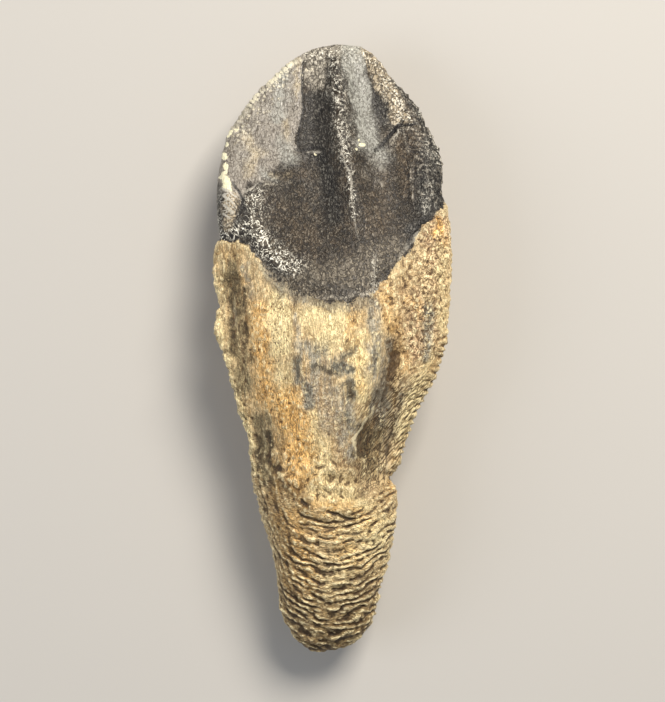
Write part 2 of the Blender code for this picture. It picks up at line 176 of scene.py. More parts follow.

# Stains and tones, each as paths with their half width and strength. Some are painted light: the sheens are
# painted sheen, and the shade, the channel beside the median ridge and part of the black are painted shade.
STAINS = {
    # Painted sheen where the glossy crown catches the light, and partly grey polish.
    "sheen": [
        ([(-1.5, 1.4), (-1.4, 3.2)], 1.3, 0.85), ([(-8.4, 14.4), (-3.4, 14)], 0.4, 0.4),
        ([(-2.4, 0.6), (3, 0.6)], 0.9, 1), ([(-9.4, 1.4), (-10.4, 8.4)], 0.6, 0.6),
        ([(6.2, 9.3), (5.4, 10.8)], 0.5, 0.6),
        ([(-0.4, 25.1), (1.6, 25), (3.4, 24.3), (4.9, 23.3)], 0.4, 0.55),
    ],
    "tan": [
        ([(-8.2, 9.6), (-7.3, 11.2), (-8, 12.6)], 0.8, 0.75), ([(-3.3, 1.8), (-3.4, 5.2)], 0.3, 0.6),
        ([(-4.3, 7.6), (-4.4, 9.4)], 0.5, 0.6), ([(3.4, 0.8), (4.2, 2)], 0.5, 0.9),
        ([(-5.6, 13.2), (-3.6, 13.5)], 0.5, 0.4),
    ],
    # Painted sheen: a grey strip right of the median ridge, where the crown catches the light.
    "cool": [
        ([(2.2, 0.8), (2.7, 4), (3.2, 7), (3.6, 9.4)], 1.1, 1.2), ([(3.4, 9.6), (5, 11.6)], 1.3, 0.7),
        ([(3.6, 12), (4.2, 14)], 1.2, 0.3), ([(-4.9, 3), (-5.1, 7)], 0.9, 0.7),
        ([(-4.8, 10.2), (-4, 11.4)], 1.2, 0.7), ([(-6.8, 13), (-5.4, 13.6)], 0.6, 0.5),
    ],
    "base": [
        ([(-4.6, 22.8), (-1, 23.6), (2.6, 22.4), (5.6, 20.6)], 1.7, 0.9),
        ([(-6.6, 20.6), (-5, 22.6)], 0.8, 0.6),
        ([(-7.2, 15.6), (-7.6, 18), (-5.8, 20.6), (-3.2, 22.4)], 1, 0.75),
        ([(-10.4, 18.4), (-8.4, 18.4)], 0.7, 0.6),
    ],
    "pitted": [
        ([(-5.1, 25.2), (-4.9, 30.4)], 1.3, 1.3), ([(-3.6, 36.4), (-3, 41.4)], 1.6, 0.6),
        ([(-1, 41), (0.6, 45)], 2.2, 0.5),
    ],
    "cream": [
        ([(-9.9, 8.2), (-9.5, 8.3)], 0.22, 1.1), ([(-9.2, 8.8)], 0.15, 0.9),
        ([(-9.8, 8.9), (-10.1, 9.3)], 0.19, 1), ([(-10.1, 9.9)], 0.14, 0.9),
        ([(-10.4, 10.8), (-10.3, 11.3)], 0.24, 1.3), ([(-10.3, 12.1), (-10.3, 13)], 0.13, 1),
        ([(-10.15, 13.6), (-10.05, 14.3)], 0.38, 1.4), ([(2.75, 9.5)], 0.14, 0.9),
        ([(3.1, 9.95)], 0.14, 0.95), ([(2.8, 10.5)], 0.13, 0.9), ([(-1.4, 10.8)], 0.12, 0.8),
    ],
    "chip": [
        ([(4, 0.9), (5.2, 3), (5.9, 5), (6.4, 7.3)], 1.05, 1.5),
        ([(3.6, 0.9), (4.5, 2.6), (5, 4.4)], 0.8, 1.3), ([(-9.9, 15), (-9.6, 16.2), (-9.9, 17.6)], 0.55, 1.2),
    ],
    # Painted shade: the channel beside the median ridge, darker where its flank turns from the light.
    "channel": [([(-1.2, 5.8), (-1.4, 8.4), (-1.6, 10.2)], 1.5, 1.4)],
    # Black enamel, with painted shade along the crown's edges where they turn from the light.
    "black": [
        ([(6.6, 2.6), (8.3, 5), (9.7, 8), (10.8, 12), (10.6, 15.6)], 0.9, 1.4),
        ([(4.7, 6), (5.2, 7.8)], 0.65, 1), ([(-0.8, 11), (0.4, 17)], 1.1, 0.9),
        ([(9.9, 16.2), (7.6, 18.8)], 0.7, 1.1), ([(-10.8, 18.8), (-9, 19), (-7.8, 19)], 0.6, 0.9),
        ([(-1.6, 23.8), (1.8, 24.4)], 0.9, 0.5), ([(-11.1, 14.6), (-11, 18.4)], 0.5, 1),
        ([(-8.5, 15.4), (-8.6, 17), (-9.2, 18)], 0.35, 0.9), ([(0, 1.4), (-0.1, 4)], 0.35, 0.6),
        ([(-8.4, 16.8), (-8, 18.6), (-6.6, 20.9), (-4.4, 22.9)], 0.5, 0.7),
        ([(9.2, 11), (8.8, 16.6)], 1.3, 0.8),
    ],
    "brown": [
        ([(6.6, 9.6), (7.2, 12), (7.6, 15)], 0.9, 0.8), ([(4.6, 12.4), (4.4, 18)], 2, 0.5),
        ([(-5.4, 13.4), (-1.6, 13.6)], 0.8, 0.5), ([(-4.4, 16.4), (-2.4, 20.4)], 2.4, 0.4),
        ([(8.2, 8.8), (8.4, 12.4)], 0.9, 0.8), ([(7, 4), (8.2, 6.8)], 0.6, 1),
    ],
    "orange": [
        ([(-6.8, 26), (-6.9, 29.1), (-6.3, 34.5), (-5.6, 36)], 1.2, 0.65),
        ([(1.9, 26), (1.9, 28.8)], 0.7, 0.5), ([(-4.1, 35.4), (-3.2, 38.4), (-3, 41.6)], 2.1, 0.8),
        ([(4.8, 23.8), (5.9, 27.6)], 1.2, 0.42), ([(6.4, 28.5), (7.2, 32)], 0.9, 0.4),
        ([(-3.6, 46.4), (-2.2, 52.4)], 1.5, 0.6), ([(6.3, 43.4)], 0.8, 0.7),
        ([(-1.4, 44.6), (1.2, 45.4), (3.6, 46.6)], 1.4, 0.5), ([(-0.6, 47), (2.6, 50.6)], 2.2, 0.4),
        ([(2.6, 28.6), (2.8, 34)], 0.7, 0.4), ([(10.2, 17.2), (10.8, 19.4)], 0.8, 0.4),
        ([(-1.6, 42), (-0.8, 44.6)], 1.6, 0.35), ([(-8.5, 22.6), (-8.2, 23.6)], 0.5, 0.6),
        ([(10.6, 17.4), (10.4, 19)], 0.5, 0.8), ([(7.6, 25.2), (8.4, 26.6)], 0.7, 0.45),
    ],
    "yellow": [
        ([(1, 47), (4.6, 49.2)], 1.7, 0.55), ([(-5.1, 25.2), (-4.8, 29.8)], 1.1, 1.3),
        ([(-1.8, 26.6), (0.6, 26.8), (-0.4, 29.4)], 1.6, 0.9), ([(2.7, 28.6), (2.8, 34.6)], 0.8, 1.3),
        ([(8.3, 33.6), (6.9, 38)], 1, 1), ([(-1.8, 39.6), (-0.8, 43.6)], 1.7, 1),
        ([(8.6, 21), (9.8, 27)], 1.3, 0.4), ([(-4.6, 31.6), (-4.4, 35)], 1, 0.6),
        ([(-1.7, 36.6), (-1.2, 39.4)], 0.9, 0.7), ([(0.8, 44), (4.4, 47.6)], 2.2, 0.9),
        ([(7.9, 20.8), (8.6, 23.6)], 1, 0.3), ([(3, 50), (0.4, 52)], 2.6, 0.6),
        ([(-11.4, 23.6), (-11.3, 26), (-10.5, 31), (-8.7, 36), (-8.1, 38.5), (-7.7, 41.5)], 0.6, 1),
        ([(10.6, 20), (10.8, 28)], 0.7, 0.55), ([(9.4, 30.6), (8.6, 34.6)], 1, 0.6),
    ],
    "grey": [
        ([(-1.6, 31), (-0.4, 34.6)], 2.1, 0.6), ([(-1, 35.4), (0.8, 38.4)], 1.5, 0.45),
        ([(-2.4, 29.8), (-1.6, 31.2)], 1, 0.8), ([(0.6, 31.2), (1.6, 32.4)], 0.9, 0.7),
        ([(-2.2, 33.4), (-2, 35.4)], 0.8, 0.9), ([(-3.3, 31.6), (-3.2, 33)], 0.5, 0.7),
        ([(1.8, 33.4), (1.9, 34.6)], 0.5, 0.7), ([(3.9, 25.4), (4.3, 28.7), (4.1, 32.6)], 0.75, 0.8),
        ([(-3.2, 26.6), (-3, 30)], 0.5, 0.65), ([(9.5, 26.2), (9.2, 30.6)], 0.7, 0.55),
        ([(1.2, 35.6), (2, 39.5)], 1.4, 0.75), ([(7, 33.4), (6.2, 36), (5.2, 41.6)], 1.1, 0.4),
        ([(5.4, 29.6), (5, 33), (4.6, 36.6)], 1, 0.8), ([(7.2, 20.6), (7.8, 19.6), (8.5, 18.5)], 0.3, 0.9),
        ([(-7.3, 19.9), (-6, 22.2), (-4.2, 24), (-2.2, 25)], 0.6, 0.8),
        ([(-8.2, 22), (-7.4, 25.4)], 0.6, 0.5),
    ],
    "hollow": [([(4.3, 36), (4.2, 42)], 1.8, 1.2), ([(6.4, 33), (5.6, 38)], 1, 1)],
    "slate": [
        ([(0.7, 31.4), (1.6, 32.2)], 0.85, 0.9), ([(-2.4, 32.4), (-2.2, 34.4), (-2, 35.6)], 0.62, 0.6),
        ([(1.7, 33.9), (1.8, 34.5)], 0.65, 1.1), ([(-2.4, 29.8), (-0.2, 30.4)], 0.9, 0.4),
        ([(-3.2, 31.2), (-3.1, 32.8)], 0.6, 0.6), ([(4.4, 30.2), (4.3, 31.6)], 0.5, 0.5),
        ([(-1.8, 31.9), (0.6, 31.9)], 0.4, 0.6), ([(1, 36.2), (1.4, 37.2)], 0.5, 0.6),
        ([(9.3, 26.6), (9.2, 27.8)], 0.5, 0.7), ([(3.6, 26.6), (3.9, 28.6)], 0.4, 0.5),
        ([(0.6, 31), (2.4, 30.2)], 0.35, 0.6),
    ],
    # Painted shade in the grooves and hollows, beside the bright crest and low on the root, with a few small
    # dark spots.
    "shade": [
        ([(3.3, 37.6), (3, 39.8)], 0.7, 1.4), ([(4.3, 37.2), (3.7, 41)], 1.5, 0.6),
        ([(2.8, 53.4), (1.8, 57)], 2, 0.62), ([(6.2, 29.6), (5.6, 32.6), (4.8, 35.2)], 0.95, 0.6),
        ([(5.6, 31), (5, 34.2)], 0.5, 0.5), ([(6.8, 34.6), (5.9, 37.2), (5.4, 40.4)], 0.4, 0.65),
        ([(5.8, 34.6), (4.8, 38)], 1, 0.35), ([(-9.3, 22.6), (-9.5, 25.4), (-9.4, 29)], 0.45, 0.75),
        ([(-8.3, 24.4), (-8.6, 26.4)], 0.35, 0.8), ([(-8.1, 27.4), (-8.1, 29.8)], 0.32, 0.85),
        ([(-10.4, 21.4), (-9.9, 25)], 0.4, 0.45), ([(-9.6, 25), (-9.4, 28), (-9.2, 30.6)], 0.24, 0.7),
        ([(-6.85, 38.7), (-6.8, 41.2)], 0.35, 1), ([(-5.9, 37.7), (-5.8, 41)], 0.35, 0.8),
        ([(-4.4, 42.4), (-4.1, 43)], 0.25, 0.7), ([(-6.3, 42.6), (-6, 43.6)], 0.3, 0.6),
        ([(0.4, 45.7), (2.6, 46.3)], 0.35, 0.6), ([(7.7, 24.4), (8.2, 26.6), (8, 28.2)], 0.3, 0.6),
        ([(-1.4, 31.9), (0.4, 32)], 0.3, 0.6), ([(-5.2, 41.2), (-4.4, 42)], 0.5, 0.7),
        ([(-5.8, 22.7), (-4.9, 23.4)], 0.26, 1), ([(-1, 59.6), (1, 57)], 3.4, 0.45),
        ([(-6.9, 45), (-5, 56)], 0.7, 0.1), ([(1.7, 33.9), (1.8, 34.6)], 0.4, 1.1),
        ([(-2.1, 34), (-2, 35)], 0.5, 0.3),
    ],
    "rosy": [
        ([(10.4, 17.4), (9.8, 21), (9, 25), (8.6, 30)], 1.9, 0.95), ([(6.6, 24.6), (7.2, 28)], 1.2, 0.5),
        ([(8.2, 32.4), (7.2, 36)], 0.9, 0.5), ([(-1.6, 33), (-0.2, 36.4), (0.6, 39)], 1.4, 0.5),
        ([(1.4, 41), (4, 44.4)], 1.6, 0.6),
    ],
    "olive": [
        ([(9.5, 25.2), (9.3, 28), (9.1, 31)], 0.55, 0.75),
        ([(-9.7, 21.8), (-9.4, 26), (-9, 30), (-8.4, 33.4)], 1, 1),
        ([(4.8, 34.4), (4.2, 38), (3.6, 42)], 1.7, 0.6), ([(2.2, 41), (3.4, 43.4)], 1.3, 0.4),
        ([(-6.6, 37), (-6.3, 42)], 1.1, 0.9),
    ],
    "ochre": [
        ([(-5.4, 42.6), (-4.9, 46), (-4.3, 50), (-3.4, 55)], 1.4, 0.75),
        ([(-3.4, 43.4), (-2.2, 46.4)], 1.2, 0.7), ([(-4.9, 38), (-4.9, 41)], 0.5, 0.6),
        ([(-3, 50), (-1.6, 54)], 1.4, 0.5), ([(5.4, 43.6), (4.6, 45.2)], 1, 0.5),
        ([(1.6, 40.6), (2.6, 43.6)], 1.6, 0.4), ([(-0.6, 43.8), (2.6, 45.4)], 1.2, 0.3),
        ([(1.9, 26), (2, 28.6)], 0.7, 0.45), ([(-0.6, 34), (0.3, 37.4)], 0.9, 0.4),
        ([(-0.6, 31.6), (-0.1, 33.2)], 0.6, 0.7), ([(0, 36.6), (0.8, 38.2)], 0.7, 0.6),
    ],
    "speckle": [
        ([(-7.2, 15.4), (-7.6, 17.8), (-6.2, 20.4), (-3.4, 22.4)], 1, 1.1),
        ([(-10.8, 18.6), (-7.8, 18.6)], 0.8, 1.2), ([(0.2, 0.6), (0.7, 5), (1.4, 10.5)], 0.75, 0.65),
        ([(9.6, 9.6), (9.9, 12.6)], 0.8, 0.4), ([(9.8, 13.8), (9.2, 16.2)], 0.7, 0.45),
        ([(4.6, 1), (6.2, 5), (7, 7.4)], 1.2, 0.75), ([(-3, 0.9), (3.6, 0.9)], 1.1, 0.7),
        ([(7.6, 4.2), (9.6, 7.5), (10.9, 12)], 0.5, 0.6), ([(-10.9, 15), (-10.9, 18)], 0.4, 0.6),
        ([(1.2, 10), (2, 14), (2.2, 17)], 0.3, 1), ([(4.2, 21), (4, 25.4)], 0.3, 0.6),
        ([(-4, 3), (-8, 8), (-8.8, 12)], 1, 0.35),
    ],
}

CAMERA_PLACE = (0.17, -0.2, 236)
CAMERA_LENS = 120
FLOOR_SIDE = 1200


def linear(colour):
    """An sRGB hex colour as linear red, green, blue and alpha."""
    parts = [int(colour[i : i + 2], 16) / 255 for i in (1, 3, 5)]
    return [p / 12.92 if p <= 0.04045 else ((p + 0.055) / 1.055) ** 2.4 for p in parts] + [1.0]


# Shape


def subdivided(node):
    """A finer copy of a solid, its four-sided faces smoothed by subdivision."""
    shape = bmesh.new()
    shape.from_mesh(node.data)
    bmesh.ops.remove_doubles(shape, verts=shape.verts, dist=MM / 1000)
    bmesh.ops.join_triangles(
        shape, faces=shape.faces, angle_face_threshold=math.pi, angle_shape_threshold=math.pi
    )
    mesh = bpy.data.meshes.new("tooth surface")
    shape.to_mesh(mesh)
    shape.free()
    piece = bpy.data.objects.new("tooth_surface", mesh)
    bpy.context.scene.collection.objects.link(piece)
    finer = piece.modifiers.new("finer", "SUBSURF")
    finer.levels = finer.render_levels = SUBDIVISIONS
    piece.data = bpy.data.meshes.new_from_object(piece.evaluated_get(bpy.context.evaluated_depsgraph_get()))
    piece.modifiers.clear()
    return piece


def read(mesh, attribute):
    """The points or the normals of a mesh, as an array."""
    values = np.empty(len(mesh.vertices) * 3, np.float32)
    mesh.vertices.foreach_get(attribute, values)
    return values.reshape(-1, 3).astype(float)


def step(low, high, value):
    """0 below low, 1 above high, and smooth between them. low may be the greater one."""
    t = np.clip((value - low) / (high - low), 0, 1)
    return t * t * (3 - 2 * t)


def stretch(value, begins, ends):
    """1 over a stretch and 0 outside it, rising over begins and falling over ends, each a pair of places."""
    return step(*begins, value) * (1 - step(*ends, value))


def bell(value, width):
    """1 where value is 0, and fading to both sides of it."""
    return np.exp(-((value / width) ** 2))


def wave(turns):
    """A wave from -1 to 1, once for each whole turn."""
    return np.sin(2 * math.pi * turns)


def line(places, at):
    """The value at some places of straight lines through (place, value) pairs."""
    return np.interp(at, *np.array(places).T)


def noise_at(places):
    """Smooth noise from about -1 to 1, its features about 1 across."""
    return np.array([noise.noise(place) for place in places.tolist()]) * NOISE_GAIN


def apart(seed):
    """A shift that keeps the patterns of different seeds apart."""
    return seed * 7.31, seed * 3.17, seed * 5.71


def path_distance(path, x, station):
    """The distance to a path, how far along it the nearest place is, from 0 to 1, and the side, -1 or 1."""
    ends = list(zip(path, path[1:])) or [(path[0], path[0])]
    whole = sum(math.dist(a, b) for a, b in ends)
    nearest = np.full(x.shape, np.inf)
    along = np.zeros(x.shape)
    side = np.ones(x.shape)
    done = 0.0
    for (x0, s0), (x1, s1) in ends:
        dx, ds = x1 - x0, s1 - s0
        length = math.hypot(dx, ds)
        t = np.clip(((x - x0) * dx + (station - s0) * ds) / max(length**2, 1e-9), 0, 1)
        distance = np.hypot(x - x0 - t * dx, station - s0 - t * ds)
        closer = distance < nearest
        along = np.where(closer, (done + t * length) / max(whole, 1e-9), along)
        side = np.where(closer, np.where((x - x0) * ds > (station - s0) * dx, 1, -1), side)
        nearest = np.where(closer, distance, nearest)
        done += length
    return nearest, along, side


def line_relief(lines, x, station):
    """The height of lines that stand up, each a narrow bell across its path."""
    total = np.zeros(x.shape)
    for path, first_width, last_width, height, _ in lines.values():
        distance, along, _ = path_distance(path, x, station)
        width = first_width + (last_width - first_width) * along
        total += height * bell(distance, np.maximum(width, NARROWEST))
    return total


def nearest_line(lines, x, station):
    """Each point's offset from the nearest line, below 0 on one side, and the line's half width and tone.
    The half width is 0 where every line is more than 1 mm away.
    """
    far = 9.0
    offset, half_width, tone = np.full(x.shape, far), np.zeros(x.shape), np.zeros(x.shape)
    for path, first_width, last_width, _, strength in lines.values():
        distance, along, side = path_distance(path, x, station)
        ends = np.clip(np.minimum(along, 1 - along) / TAPER, 0, 1)
        width = ends * (first_width + (last_width - first_width) * along)
        closer = width - distance > half_width - np.abs(offset)
        offset = np.where(closer, side * distance, offset)
        half_width = np.where(closer, width, half_width)
        tone = np.where(closer, strength, tone)
    return offset, half_width * (np.abs(offset) < 1), tone


class Tooth:
    """The fine mesh's points and where each lies on the tooth.

    face is 1 on the side that faces up and 0 on the back, bent is the station as the bent rings count it, and
    warp is how far the edges of stains stray, across the tooth and along it.
    """

    def __init__(self, mesh):
        self.points = read(mesh, "co") / MM
        self.normals = read(mesh, "normal")
        edges = np.empty(len(mesh.edges) * 2, np.int32)
        mesh.edges.foreach_get("vertices", edges)
        self.edges = edges.reshape(-1, 2)
        self.x = self.points[:, 0].copy()
        self.station = self.points[:, 1].max() - self.points[:, 1]
        self.face = step(-0.25, 0.2, self.normals[:, 2])
        self.bent = self.station + line(RING_BEND, self.station) * (self.x - RING_MIDDLE) ** 2
        self.ringed = step(*RINGS_BEGIN, self.bent)
        self.warp = (0.3 * self.noise(1.2, 30) + 0.15 * self.noise(0.5, 32), 0.5 * self.noise(2.0, 31))
        self.find_margins()

    def write(self, mesh):
        """Moves the mesh's points to where they are now, and takes the normals there."""
        mesh.vertices.foreach_set("co", (self.points * MM).astype(np.float32).ravel())
        mesh.update()
        self.normals = read(mesh, "normal")

    def find_margins(self):
        """How far each point is from the margins, how far along the nearer one, and how high over them."""
        spacing, reach = 0.25, 0.3
        stations = np.arange(0, self.station.max(), spacing)
        margins = []
        for at in stations:
            ring = self.points[np.abs(self.station - at) < reach]
            left, right = ring[ring[:, 0].argmin()], ring[ring[:, 0].argmax()]
            margins.append((left[0], left[2], right[0], right[2]))
        margins = np.array(margins).T
        left_x, left_z, right_x, right_z = (np.interp(self.station, stations, margin) for margin in margins)
        self.from_left = self.x - left_x
        self.from_right = right_x - self.x
        across = np.clip(self.from_left / np.maximum(right_x - left_x, 0.1), 0, 1)
        self.over_margin = self.points[:, 2] - (left_z + (right_z - left_z) * across)
        crown = stations < MARGIN_END
        rims = []
        for margin_x in margins[::2]:
            path = list(zip(margin_x[crown].tolist(), stations[crown].tolist()))
            distance, along, _ = path_distance(path, self.x, self.station)
            rims.append((distance, along * sum(math.dist(a, b) for a, b in zip(path, path[1:]))))
        (left_distance, left_along), (right_distance, right_along) = rims
        self.rim = np.minimum(left_distance, right_distance)
        self.along_rim = np.where(left_distance < right_distance, left_along, right_along)

    def noise(self, size, seed, longer=1.0, lean=0.0):
        """Smooth noise from about -1 to 1, its features size mm across and longer times as long as wide,
        leaning towards the left as they go up.
        """
        places = self.points + np.outer(lean * self.points[:, 1], (1, 0, 0))
        return noise_at(places / (size, size * longer, size) + apart(seed))

    def ring_noise(self, length, pitch, seed):
        """Smooth noise from about -1 to 1 along the rings, its features length mm long, pitch mm apart."""
        places = np.stack([self.x / length, self.bent / pitch, self.points[:, 2] / length], axis=1)
        return noise_at(places + seed * 4.7)

    def beads(self, size, seed):
        """A skin of rounded beads size mm across, from 0 between them to 1 on top."""
        places = self.points / size + apart(seed)
        nearest = np.array([noise.voronoi(place)[0][0] for place in places.tolist()])
        radius = 0.62
        return np.clip(1 - (nearest / radius) ** 2, 0, 1)

    def smoothed(self, values, rounds):
        """Values after each point has gone half way to its neighbours' mean, again and again."""
        a, b = self.edges.T
        count = np.bincount(a, minlength=len(values)) + np.bincount(b, minlength=len(values))
        for _ in range(rounds):
            sums = [
                np.bincount(a, column[b], len(values)) + np.bincount(b, column[a], len(values))
                for column in values.T
            ]
            values = 0.5 * values + 0.5 * np.stack(sums, axis=1) / count[:, None]
        return values

    def standing_out(self, rounds):
        """How far each point stands out of its surroundings: above 0 on crests, below 0 in hollows."""
        return ((self.points - self.smoothed(self.points, rounds)) * self.normals).sum(axis=1)


def enamel_depth(tooth):
    """How far each point lies inside the enamel, and below 0 outside it."""
    distance = path_distance(ENAMEL_END, tooth.x, tooth.station)[0]
    side = np.where(tooth.station < line(ENAMEL_END, tooth.x), 1, -1)
    waver = 0.20 * tooth.noise(0.9, 1) + 0.14 * tooth.noise(0.4, 41)
    return np.minimum(side * distance, ENAMEL_WRAP + tooth.over_margin) + waver


def stain(tooth, name):
    """How strongly a stain shows at each point of the face, with edges that stray."""
    x = tooth.x + tooth.warp[0]
    station = tooth.station + tooth.warp[1]
    strength = np.zeros(x.shape)
    for path, half_width, most in STAINS[name]:
        distance = path_distance(path, x, station)[0]
        strength = np.maximum(strength, most * bell(distance, half_width))
    return strength * tooth.face


def margin_relief(tooth):
    """The crown's edges: denticles at the left, beads at the right and the tip, and folds low at the left."""
    x, station = tooth.x, tooth.station
    toothed = stretch(station, (0.8, 1.8), (8.6, 10.0)) * (x < 0)
    turns = tooth.along_rim / DENTICLE
    relief = 0.10 * toothed * bell(tooth.rim - 0.3, 0.3) * (wave(turns - 0.25) + 0.6)
    relief += 0.05 * toothed * bell(tooth.rim - 0.8, 0.3) * wave(turns + 0.25)
    relief += 0.06 * toothed * bell(tooth.rim - 1.2, 0.9) * tooth.beads(0.42, 42)
    beaded = step(1.1, 0.4, tooth.from_right) * stretch(station, (3.0, 4.2), (15, 16.5))
    relief += beaded * (0.20 * tooth.beads(0.5, 43) - 0.08)
    tip = step(1.6, 0.4, station)
    relief += tip * (0.09 * tooth.beads(0.55, 45) - 0.03)
    folded = bell(x + 9.4, 0.9) * stretch(station, (14.6, 15.4), (18.0, 19.0))
    return relief + 0.06 * folded * wave((station + 0.8 * x) / 0.62 + 0.4 * tooth.noise(0.9, 46))


def crown_relief(tooth, enamel):
    """The enamelled crown: its edges, ledges, rough ridge, chipped place and base, and grain all over."""
    x, station = tooth.x, tooth.station
    ledges = step(7.1, 7.7, x) * stretch(station, (7.6, 8.8), (15.0, 17.5))
    rungs = bell(x - 8.1 - 0.03 * station, 0.55) * step(14.5, 12, station)
    relief = 0.11 * ledges * rungs * wave(station / 0.5 + 0.35 * tooth.noise(0.9, 3))
    relief += ledges * (0.13 * tooth.beads(0.55, 4) - 0.06)
    ridge = bell(x - 0.5 - 0.1 * station, 0.8) * stretch(station, (-0.3, 0.8), (11, 15.5))
    relief += ridge * (0.16 * tooth.beads(0.5, 5) - 0.06 + 0.05 * tooth.noise(0.28, 6))
    chip = step(0, 0.22, x - line(CHIP_EDGE, station)) * stretch(station, (0.2, 1.0), (8.2, 8.45))
    relief += chip * (-0.16 + 0.10 * tooth.noise(0.5, 7, 1.6) + 0.05 * tooth.noise(0.28, 44))
    relief += stain(tooth, "speckle") * (0.06 * tooth.noise(0.32, 8) + 0.06 * tooth.beads(0.4, 47))
    base = step(4.5, 0.5, enamel) * step(19, 22, station)
    relief += base * (0.05 * tooth.noise(0.5, 48) + 0.04 * tooth.noise(0.3, 49))
    facet = step(-2.6, -3.4, x) * step(14, 11, station)
    relief += 0.015 * facet * tooth.noise(0.3, 9, 6.0)
    relief += 0.02 * tooth.noise(0.32, 50) + 0.02 * tooth.noise(1.4, 10)
    return (relief + margin_relief(tooth)) * step(-0.1, 0.2, enamel)


def right_flange_relief(tooth):
    """The root's right flange: a toothed edge, a fan of cross ridges, and beads and lumps above it."""
    x, station = tooth.x, tooth.station
    flange = step(-0.6, 0.6, x - line(RIGHT_FLANGE_FOOT, station)) * (1 - step(*RIGHT_FLANGE_END, station))
    teeth = bell(tooth.from_right, 0.75) * step(25, 30, station)
    relief = 0.13 * teeth * wave(station / 0.74 + 0.45 * tooth.noise(1.2, 11))
    fan = step(29.5, 33.5, station) * bell(tooth.from_right - 0.8, 2.0)
    relief += 0.06 * fan * wave((station - (9.8 - x) ** 2 / 6) / 0.42 + 0.3 * tooth.noise(1.0, 51))
    lumps = 0.09 * tooth.noise(1.3, 12) + 0.11 * tooth.beads(0.5, 60) + 0.06 * tooth.noise(0.4, 13) - 0.04
    return flange * (relief + step(34, 29, station) * lumps)


def left_flange_relief(tooth):
    """The root's left flange: slanted strands low on it, and a beaded and folded edge."""
    x, station = tooth.x, tooth.station
    flange = step(0.5, -0.3, x - line(LEFT_FLANGE_FOOT, station)) * step(19.6, 21, station)
    turns = (station - 1.1 * x) / 0.62 + 0.4 * tooth.noise(1.2, 14)
    strands = 0.035 * stretch(station, (31, 38), (46, 53)) * wave(turns)
    edge = bell(tooth.from_left, 0.8) * stretch(station, (21, 23), (46, 50))
    turns = (station - 0.8 * tooth.from_left) / 0.62 + 0.5 * tooth.noise(1.0, 69)
    lumps = 0.15 * tooth.beads(0.8, 15) - 0.05 + 0.09 * tooth.noise(0.5, 52)
    return flange * (strands + 0.03 * tooth.noise(0.28, 61, 5.0)) + edge * (lumps + 0.05 * wave(turns))


def ring_waves(tooth):
    """Growth rings round the lower root, from about -1 to 1: ridges that waver, swell, fade and merge."""
    turns = line(RING_TURNS, tooth.bent) + 0.55 * tooth.noise(2.6, 16, 0.6) + 0.2 * tooth.noise(0.9, 53, 0.6)
    swelling = np.clip(0.75 + 0.9 * tooth.ring_noise(1.3, 0.6, 17), 0.05, 1.4)
    scales = 0.8 * tooth.ring_noise(1.2, 0.3, 65) + 0.6 * tooth.noise(0.42, 66)
    smooth_side = step(-2.2, -5.0, tooth.x + 0.6 * tooth.warp[0]) * step(57, 51, tooth.station)
    slanted = 1.3 * tooth.noise(0.42, 67, 4.0, 0.35)
    waves = (swelling * wave(turns) + scales) * (1 - 0.8 * smooth_side) + slanted * smooth_side
    return waves * tooth.ringed * (0.65 + 0.35 * step(47, 51, tooth.station))


def ring_relief(tooth):
    """The rings' ridges, with small lumps along them and pores low on the right."""
    lumps = 0.045 * tooth.noise(0.36, 19) + 0.09 * tooth.ring_noise(1.6, 1.1, 55)
    porous = step(50, 56, tooth.station) * step(0.5, 2.5, tooth.x)
    pores = 0.09 * porous * tooth.beads(0.5, 56) * step(0.0, 0.4, tooth.noise(0.9, 57))
    return 0.11 * ring_waves(tooth) + tooth.ringed * (lumps - pores)


def root_relief(tooth):
    """The root's body: lengthwise grain, pores, crinkles, lumps and ledges above the rings, ripples in its
    hollow, and shoulders beside the enamel.
    """
    x, station = tooth.x, tooth.station
    grain = 0.03 * tooth.noise(0.45, 20, 5.0) + 0.035 * tooth.noise(1.1, 21, 3.0)
    grain += 0.04 * tooth.noise(0.34, 58)
    pores = 0.03 * np.minimum(0, tooth.noise(0.35, 22) + 0.15)
    crinkles = 0.09 * stain(tooth, "orange") * tooth.noise(0.5, 68)
    lumps = step(38, 42, station) * (0.16 * tooth.noise(1.0, 23) + 0.09 * tooth.noise(0.45, 59))
    ledges = 0.17 * step(41, 43.5, station) * tooth.ring_noise(1.6, 0.8, 64)
    rough = (0.4 + 0.6 * step(3.0, 0.0, x)) * (lumps + ledges)
    back = 0.05 * tooth.noise(0.8, 24, 4.0) * (1 - tooth.face)
    body = step(46, 44, tooth.bent) * (grain + pores + crinkles + rough + back)
    hollow = stretch(station, (35, 37), (41, 43)) * bell(x - 5.0, 1.2)
    ripples = 0.03 * hollow * wave((station + 1.2 * x) / 0.4 + 0.4 * tooth.noise(0.9, 62))
    shoulders = 0.2 * step(4.5, 7.0, np.abs(x)) * step(24, 22, station)
    return body + ripples + shoulders


def whole_relief(tooth, enamel):
    """How far each point stands out of the smooth surface, apart from the lines that are cut."""
    root = right_flange_relief(tooth) + left_flange_relief(tooth) + ring_relief(tooth) + root_relief(tooth)
    total = crown_relief(tooth, enamel) + step(0.15, -0.1, enamel) * root
    total += tooth.face * line_relief(CRESTS, tooth.x, tooth.station)
    for path, radius, height in SWELLINGS.values():
        distance = path_distance(path, tooth.x, tooth.station)[0]
        total += tooth.face * height * bell(distance, radius)
    return total


def calmed(tooth):
    """The points, smoothed where the rings and the groove beside the left flange need a calm ground."""
    groove = step(-6.8, -8.0, tooth.x) * stretch(tooth.station, (20.5, 22), (33, 36))
    calm = np.maximum(step(44, 46, tooth.bent), groove)
    return tooth.points + (tooth.smoothed(tooth.points, CALMING_ROUNDS) - tooth.points) * calm[:, None]


